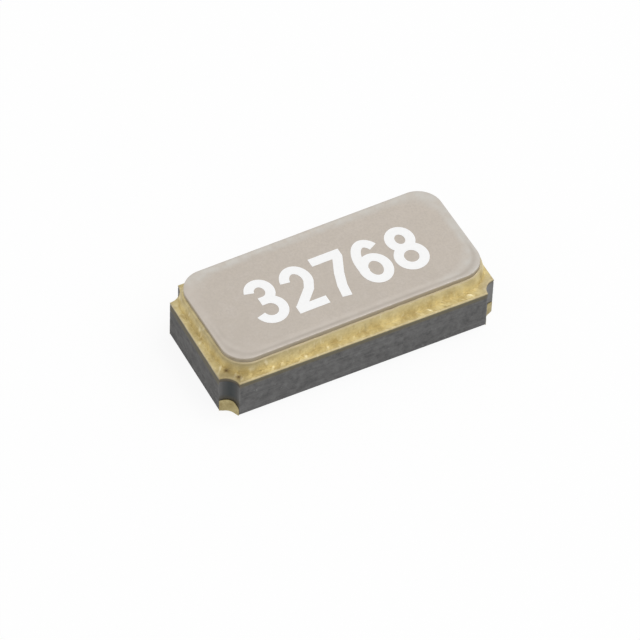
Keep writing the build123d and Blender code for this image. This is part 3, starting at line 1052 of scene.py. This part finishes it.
class CRYSTAL_OT_lid(bpy.types.Operator):
    """Build the lid with its rounded edges and the weld track round them"""
    bl_idname = "crystal.lid"
    bl_label = "Lid"

    def execute(self, context):
        lid, colours = context.scene.crystal_lid, context.scene.crystal_colours
        low, high = LID_LOW.z, LID_HIGH.z
        round_low, round_top, lip = 6 * MICRON, 7 * MICRON, 1 * MICRON
        wall_steps, track_steps, face_steps = 7, 18, 23
        rings = Rings("track", "crease", "side", "free")
        # The side mark paints shade on the lid's side and lower rounding, fading across the top rounding.
        for inset, rise in rounding(round_low, 4):
            rings.place(level(lid_outline(inset), low + rise), side=1.0)
        wall = high - lip - round_top - low - round_low
        for i in range(1, wall_steps + 1):
            z = low + round_low + wall * i / wall_steps
            rings.place(level(lid_outline(), z), side=1.0 if i < wall_steps else 0.7)
        for i, (down, inset) in enumerate(rounding(round_top, 4)[1:], 1):
            rings.place(level(lid_outline(inset), high - lip - down), track=i / 4, side=0.5 - i / 8)
        # Strips of the weld track along the front edge, and along the left edge near the front, are painted
        # darker as shade.
        inward = list(zip(lid_outline(), lid_outline(1 * MM, 0.1 * MICRON)))
        front = [max(0.0, b[1] - a[1]) / MM for a, b in inward]
        left = [0.55 * max(0.0, b[0] - a[0]) / MM * hump(a[1] / MM, -0.42, 0.20) for a, b in inward]
        outer = level(lid_outline(round_top), high - lip)
        inner = level(lid_outline(lid.track_width, lid.track_corner), high)
        for i in range(1, track_steps + 1):
            share = i / track_steps
            ring = between(outer, inner, share)
            deep = lid.track_drop * hump(share, 0.475, 0.28) + lip * max(0.0, 1 - share / 0.12)
            for point in ring:
                point.z = high - deep
            groove, score = hump(share, 0.30, 0.14), hump(share, 0.75, 0.13)
            creased = [groove * a + score * b for a, b in zip(front, left)]
            rings.place(ring, track=1 - max(0.0, share - 0.50) / 0.50, crease=creased, free=min(share * 3, 1))
        for i in range(1, face_steps + 1):
            inset = lid.track_width + 22 * MICRON * i
            corner = max(lid.track_corner - 18 * MICRON * i, 8 * MICRON)
            rings.place(level(lid_outline(inset, corner), high), free=1.0)
        cover = rings.join("lid_plate")
        nickel = make_nickel("nickel_lid", colours.nickel, colours.track)
        run_tree(
            cover, relief_tree(), Height=1.5 * MICRON, Features_per_mm=3.0, Across=1.0, Detail=2.0, Seed=5.0,
            Material=nickel,
        )
        finish_piece(cover, nickel, ["lid"], sharp=40)
        return {"FINISHED"}


class CRYSTAL_OT_marking(bpy.types.Operator):
    """Print the frequency on the lid"""
    bl_idname = "crystal.marking"
    bl_label = "Marking"

    def execute(self, context):
        lid = context.scene.crystal_lid
        text = lid.marking
        tall = lid.marking_height - lid.stroke
        pitch = (lid.marking_length + FIGURE_GAP * tall) / len(text)
        wide = pitch - FIGURE_GAP * tall - lid.stroke
        centre = (LID_LOW + LID_HIGH) / 2
        turn = Matrix.Rotation(lid.turn, 4, "Z")
        start = Vector((
            (lid.stroke - lid.marking_length) / 2 + lid.marking_right, -tall / 2 - lid.marking_down, 0,
        ))
        ink = make_ink("marking_ink", context.scene.crystal_colours.ink)
        height = LID_HIGH.z + lid.ink_thickness / 2 - MICRON
        lines = bpy.data.curves.new("figure_lines", "CURVE")
        lines.dimensions = "3D"
        for number, figure in enumerate(text):
            for points, loop in figure_strokes(figure):
                spline = lines.splines.new("POLY")
                spline.points.add(len(points) - 1)
                for point, (x, y) in zip(spline.points, points):
                    at = turn @ (start + Vector((number * pitch + x * wide, y * tall, 0)))
                    point.co = (at.x + centre.x, at.y + centre.y, height, 1)
                spline.use_cyclic_u = loop
        holder = bpy.data.objects.new("figure_lines", lines)
        context.scene.collection.objects.link(holder)
        mesh = evaluate(
            holder, stroke_tree(), Stroke=lid.stroke, Thickness=lid.ink_thickness, Material=ink
        )
        bpy.data.objects.remove(holder)
        finish_piece(new_piece("frequency_marking", mesh), ink)
        return {"FINISHED"}


class CRYSTAL_OT_terminals(bpy.types.Operator):
    """Build the soldering pads and their wraps up the castellations"""
    bl_idname = "crystal.terminals"
    bl_label = "Terminals"

    def execute(self, context):
        body, colours = context.scene.crystal_body, context.scene.crystal_colours
        half_x, half_y = half_sizes()
        # Painted shade: the terminals' gold is a darkened copy of the band's gold.
        gold = make_gold("terminal_gold", shade(colours.gold, 0.58), shade(colours.gold_deep, 0.56))
        wear = 5 * MICRON
        for number, end in ((1, -1), (2, 1)):
            pad = self.pad("terminal_plating_%d" % number, body, end, wear)
            cutters, wraps = [], []
            for side in (-1, 1):
                corner = (end * half_x, side * half_y)
                radius = body.notch_radius * NOTCH_SHARES[end, side]
                middle = radius - body.wrap_thickness / 2
                disc = outline(middle, middle, middle, centre=corner, steps=(1, 1, 24))
                cutters.append(join_rings("round", [level(disc, -wear), level(disc, BASE_LOW.z + wear)]))
                wraps.append(self.wrap(body, corner, radius, end, side))
            combine(pad, cutters, "DIFFERENCE")
            combine(pad, wraps, "UNION")
            finish_piece(pad, gold, ["terminal_%d" % number], sharp=40)
        return {"FINISHED"}

    def pad(self, name, body, end, wear):
        """One soldering pad, rounded at its foot."""
        half_x, half_y = half_sizes()
        inner_x = -TERMINAL_HIGH.x
        pad_half_x = (half_x - body.pad_inset - inner_x) / 2
        pad_half_y = half_y - body.pad_inset
        centre = (end * (inner_x + pad_half_x), 0.0)

        def ring(inset, z):
            """The pad's outline, inset, at one height."""
            corner, steps = 30 * MICRON, (70, 70, 8)
            return level(outline(pad_half_x, pad_half_y, corner, inset, centre=centre, steps=steps), z)

        rings = [ring(inset, rise) for inset, rise in rounding(wear, 4)]
        return join_rings(name, rings + [ring(0.0, BASE_LOW.z)])

    def wrap(self, body, corner, outer, end, side):
        """Plating on one castellation's wall: a thin quarter shell, lower and thinner towards its ends."""
        thick, top = body.wrap_thickness, TERMINAL_HIGH.z
        towards = math.atan2(-side, -end)
        arc, count, soft = math.radians(89), 40, 5 * MICRON
        profile = [(0.0, 2 * MICRON), (0.0, top - soft)]
        profile += [
            (0.5 - 0.5 * math.cos(turn), top - soft + soft * math.sin(turn))
            for turn in (math.pi * i / 8 for i in range(1, 8))
        ]
        profile += [(1.0, top - soft), (1.0, 2 * MICRON)]
        rings = []
        for i in range(count + 1):
            bearing = towards - arc / 2 + arc * i / count
            off = 2 * i / count - 1
            droop = (0.075 if off * end * side < 0 else 0.018) * MM * abs(off) ** 2.4
            sway = 4 * MICRON * noise.noise(Vector((bearing * 6, end, side))) - droop
            full = min(1.0, 0.2 + 5.0 * min(i, count - i) / count)
            rings.append([
                Vector((
                    corner[0] + (outer - depth * thick * full) * math.cos(bearing),
                    corner[1] + (outer - depth * thick * full) * math.sin(bearing),
                    z + (sway if z > top / 2 else 0),
                ))
                for depth, z in profile
            ])
        return join_rings("wrap", rings)


class CRYSTAL_OT_inside(bpy.types.Operator):
    """Finish the pieces sealed under the lid"""
    bl_idname = "crystal.inside"
    bl_label = "Inside"

    def execute(self, context):
        colours = context.scene.crystal_colours
        finishes = {
            "quartz": make_quartz(),
            "electrode_film": make_gold("gold_film", (0.90, 0.66, 0.26), (0.80, 0.56, 0.19)),
            "inner_gold": make_gold("inner_gold", colours.gold, colours.gold_deep),
            "tungsten": make_tungsten(),
            "silver_adhesive": make_adhesive(),
        }
        slots = {part["node"]: part["material_slot"] for part in frame["record"]["subparts"]}
        for node, piece in frame["nodes"].items():
            if slots[node] in finishes:
                piece.data.materials.clear()
                piece.data.materials.append(finishes[slots[node]])
        return {"FINISHED"}


class CRYSTAL_OT_stage(bpy.types.Operator):
    """Set out the floor, the lights, the surround and the camera"""
    bl_idname = "crystal.stage"
    bl_label = "Stage"

    def execute(self, context):
        stage = context.scene.crystal_stage
        self.floor(stage)
        self.surround(context.scene)
        self.softbox("overhead", place=(0.12, -0.05, 0.19), size=0.24, radiance=1.58, glints=False)
        self.softbox("key", place=(0.10, 0.02, 0.24), size=0.04, radiance=8.0, glints=True)
        self.camera(context.scene, stage)
        return {"FINISHED"}

    def floor(self, stage):
        """A plain white floor that keeps the object's shadow."""
        half, low = stage.floor_size / 2, -MICRON
        mesh = bpy.data.meshes.new("floor")
        corners = [(-half, -half, low), (half, -half, low), (half, half, low), (-half, half, low)]
        mesh.from_pydata(corners, [], [(0, 1, 2, 3)])
        floor = new_piece("floor", mesh)
        material = bpy.data.materials.new("white_floor")
        material.use_nodes = True
        tree = Tree(material.node_tree)
        tree.group.nodes.clear()
        paper = tree.add("ShaderNodeBsdfDiffuse", {"Color": (0.97, 0.97, 0.97, 1)}).outputs[0]
        white = tree.add("ShaderNodeEmission", {"Color": (1, 1, 1, 1), "Strength": 1.0}).outputs[0]
        share = tree.calc("MULTIPLY", tree.seen_directly(), 0.90)
        mixed = tree.add("ShaderNodeMixShader", {0: share, 1: paper, 2: white}).outputs[0]
        tree.add("ShaderNodeOutputMaterial", {"Surface": mixed})
        mesh.materials.append(material)

    def surround(self, scene):
        """Even grey light from all round, white where the camera or a shiny face sees it."""
        world = bpy.data.worlds.new("surround")
        scene.world = world
        world.use_nodes = True
        tree = Tree(world.node_tree)
        tree.group.nodes.clear()
        soft = tree.add("ShaderNodeBackground", {"Color": (1, 1, 1, 1), "Strength": 0.57}).outputs[0]
        white = tree.add("ShaderNodeBackground", {"Color": (1, 1, 1, 1), "Strength": 1.0}).outputs[0]
        mixed = tree.add("ShaderNodeMixShader", {0: tree.seen_directly(), 1: soft, 2: white}).outputs[0]
        tree.add("ShaderNodeOutputWorld", {"Surface": mixed})

    def softbox(self, name, place, size, radiance, glints):
        """A square soft light aimed at the object, set by its face's brightness, with or without glints."""
        light = bpy.data.lights.new(name, "AREA")
        light.shape = "SQUARE"
        light.size = size
        light.energy = radiance * math.pi * size * size
        lamp = bpy.data.objects.new(name, light)
        lamp.location = place
        lamp.visible_glossy = glints
        lamp.rotation_euler = (-Vector(place)).to_track_quat("-Z", "Y").to_euler()
        bpy.context.scene.collection.objects.link(lamp)

    def camera(self, scene, stage):
        """The camera, a long way off through a long lens."""
        data = bpy.data.cameras.new("camera")
        data.sensor_width = 36
        data.lens = stage.lens
        data.clip_start = 1 * MM
        data.clip_end = 2.0
        camera = bpy.data.objects.new("camera", data)
        round_z, height = stage.azimuth, stage.elevation
        flat = math.cos(height)
        back = Vector((math.sin(round_z) * flat, -math.cos(round_z) * flat, math.sin(height)))
        right = (-back).cross(Vector((0, 0, 1))).normalized()
        up = right.cross(-back)
        level_right = math.cos(stage.roll) * right + math.sin(stage.roll) * up
        level_up = -math.sin(stage.roll) * right + math.cos(stage.roll) * up
        turn = Matrix((level_right, level_up, back)).transposed()
        spot = Vector(CAMERA_TARGET) + back * stage.distance
        camera.matrix_world = Matrix.Translation(spot) @ turn.to_4x4()
        scene.collection.objects.link(camera)
        scene.camera = camera
        scene.view_settings.view_transform = "Standard"


class CRYSTAL_PT_panel(bpy.types.Panel):
    """Crystal pieces and settings"""
    bl_idname = "CRYSTAL_PT_panel"
    bl_label = "Crystal"
    bl_space_type = "VIEW_3D"
    bl_region_type = "UI"
    bl_category = "Crystal"

    def draw(self, context):
        layout = self.layout
        for name in GROUPS:
            group = getattr(context.scene, name)
            box = layout.box()
            for field in group.__annotations__:
                box.prop(group, field)
        for operator in OPERATORS:
            layout.operator(operator.bl_idname)


GROUPS = {
    "crystal_body": CrystalBodySizes,
    "crystal_lid": CrystalLidSizes,
    "crystal_colours": CrystalColours,
    "crystal_stage": CrystalStage,
}
OPERATORS = (
    CRYSTAL_OT_stage,
    CRYSTAL_OT_base,
    CRYSTAL_OT_seal,
    CRYSTAL_OT_braze,
    CRYSTAL_OT_lid,
    CRYSTAL_OT_marking,
    CRYSTAL_OT_terminals,
    CRYSTAL_OT_inside,
)


def register():
    for name, group in GROUPS.items():
        bpy.utils.register_class(group)
        setattr(bpy.types.Scene, name, PointerProperty(type=group))
    for operator in OPERATORS:
        bpy.utils.register_class(operator)
    bpy.utils.register_class(CRYSTAL_PT_panel)


def unregister():
    bpy.utils.unregister_class(CRYSTAL_PT_panel)
    for operator in reversed(OPERATORS):
        bpy.utils.unregister_class(operator)
    for name, group in reversed(GROUPS.items()):
        delattr(bpy.types.Scene, name)
        bpy.utils.unregister_class(group)


def main():
    """Builds every piece in order."""
    register()
    for operator in OPERATORS:
        family, name = operator.bl_idname.split(".")
        getattr(getattr(bpy.ops, family), name)()


if __name__ == "__main__":
    main()
